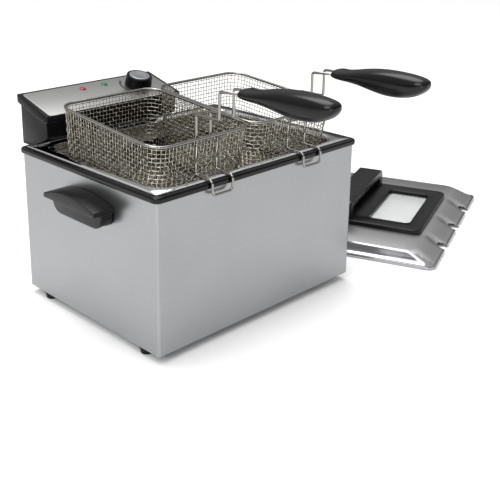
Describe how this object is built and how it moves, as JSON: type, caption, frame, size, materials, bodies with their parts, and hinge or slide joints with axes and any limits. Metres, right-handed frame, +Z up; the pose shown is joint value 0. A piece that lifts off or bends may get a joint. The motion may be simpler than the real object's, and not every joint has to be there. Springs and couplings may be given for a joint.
{
  "type": "deep fryer",
  "caption": "Box-shaped steel table fryer with twin wire baskets hung to drain, removable sloped control head with element, oil tank and a windowed lid lying beside it.",
  "frame": {"origin": "middle of the footprint of fryer and lid together, on the table", "axes": "+X along the front from the control head's side to the lid, -Y towards the cook, +Z up"},
  "size_m": [0.868, 0.4924, 0.3518],
  "materials": {
    "brushed_stainless": "fine horizontal brushing, satin",
    "polished_stainless": "mirror polished stainless steel",
    "bracket_steel": "plain mill finish sheet",
    "galvanised_sheet": "galvanised sheet",
    "zinc_screws": "zinc plated",
    "black_rubber": "matt moulded rubber",
    "black_plastic": "satin moulded plastic",
    "handle_plastic": "fine moulded grain",
    "knob_plastic": "satin moulded plastic",
    "brass_stem": "turned brass",
    "steatite": "unglazed ceramic",
    "element_sheath": "dark oxidised alloy sheath",
    "red_lens": "clear tinted lens",
    "green_lens": "clear tinted lens",
    "red_plastic": "moulded",
    "window_glass": "clear tempered glass",
    "basket_wire": "woven plated wire, seen as mesh",
    "plated_wire": "bright plated round wire",
    "gloss_black_plastic": "polished moulded grip"
  },
  "bodies": {
    "casing": {"outer_casing": "brushed_stainless", "base_plate": "galvanised_sheet", "rim_trim": "black_plastic", "carry_handle_left": "handle_plastic", "carry_handle_right": "handle_plastic", "foot_front_left": "black_rubber", "foot_front_right": "black_rubber", "foot_rear_left": "black_rubber", "foot_rear_right": "black_rubber", "foot_screw_front_left": "zinc_screws", "foot_screw_front_right": "zinc_screws", "foot_screw_rear_left": "zinc_screws", "foot_screw_rear_right": "zinc_screws", "carry_screw_left_front": "zinc_screws", "carry_screw_left_rear": "zinc_screws", "carry_screw_right_front": "zinc_screws", "carry_screw_right_rear": "zinc_screws"},
    "tank": {"oil_tank": "polished_stainless"},
    "control_head": {"control_housing": "black_plastic", "head_base_cover": "black_plastic", "control_panel": "brushed_stainless", "element_bracket": "bracket_steel", "heating_element": "element_sheath", "sensor_bulb": "polished_stainless", "capillary_tube": "polished_stainless", "element_strap_upper": "bracket_steel", "element_strap_lower": "bracket_steel", "thermostat_body": "steatite", "indicator_red": "red_lens", "indicator_green": "green_lens", "terminal_block": "steatite", "safety_switch": "black_plastic", "cord_inlet": "black_rubber", "head_screw_left": "zinc_screws", "head_screw_right": "zinc_screws"},
    "knob": {"thermostat_knob": "knob_plastic", "knob_cap": "brushed_stainless", "thermostat_shaft": "brass_stem"},
    "plunger": {"switch_plunger": "red_plastic"},
    "reset": {"reset_button": "red_plastic"},
    "basket_1": {"basket_1_mesh": "basket_wire", "basket_1_rim": "plated_wire", "basket_1_hook": "plated_wire", "basket_1_sleeve": "plated_wire"},
    "basket_1_handle": {"basket_1_handle_wire_left": "plated_wire", "basket_1_handle_wire_right": "plated_wire", "basket_1_grip": "gloss_black_plastic"},
    "basket_2": {"basket_2_mesh": "basket_wire", "basket_2_rim": "plated_wire", "basket_2_hook": "plated_wire", "basket_2_sleeve": "plated_wire"},
    "basket_2_handle": {"basket_2_handle_wire_left": "plated_wire", "basket_2_handle_wire_right": "plated_wire", "basket_2_grip": "gloss_black_plastic"},
    "lid": {"lid_shell": "polished_stainless", "lid_window": "window_glass", "lid_handle": "handle_plastic", "lid_screw_left": "zinc_screws", "lid_screw_right": "zinc_screws"}
  },
  "joints": [
    {"name": "tank_lift", "type": "slide", "parent": "casing", "child": "tank", "axis": [0, 0, 1], "range_m": [0, 0.15]},
    {"name": "head_lift", "type": "slide", "parent": "tank", "child": "control_head", "axis": [0, 0, 1], "range_m": [0, 0.08]},
    {"name": "thermostat_turn", "type": "hinge", "parent": "control_head", "child": "knob", "pos_m": [-0.21571, 0.19815, 0.28314], "axis": [0, 0.2642, -0.9645], "range_deg": [0, 250]},
    {"name": "switch_press", "type": "slide", "parent": "control_head", "child": "plunger", "axis": [0, 0, 1], "range_m": [0, 0.002], "stiffness_N_per_m": 150},
    {"name": "reset_press", "type": "slide", "parent": "control_head", "child": "reset", "axis": [0, -1, 0], "range_m": [0, 0.002], "stiffness_N_per_m": 300},
    {"name": "basket_1_lift", "type": "slide", "parent": "tank", "child": "basket_1", "axis": [0, 0, 1], "range_m": [0, 0.2]},
    {"name": "basket_1_fold", "type": "hinge", "parent": "basket_1", "child": "basket_1_handle", "pos_m": [-0.30221, -0.03785, 0.261], "axis": [-1, 0, 0], "range_deg": [0, 110]},
    {"name": "basket_2_lift", "type": "slide", "parent": "tank", "child": "basket_2", "axis": [0, 0, 1], "range_m": [0, 0.2]},
    {"name": "basket_2_fold", "type": "hinge", "parent": "basket_2", "child": "basket_2_handle", "pos_m": [-0.13321, -0.03785, 0.261], "axis": [-1, 0, 0], "range_deg": [0, 110]},
    {"name": "lid_lift", "type": "slide", "parent": "casing", "child": "lid", "axis": [0, 0, 1], "range_m": [0, 0.1]}
  ]
}
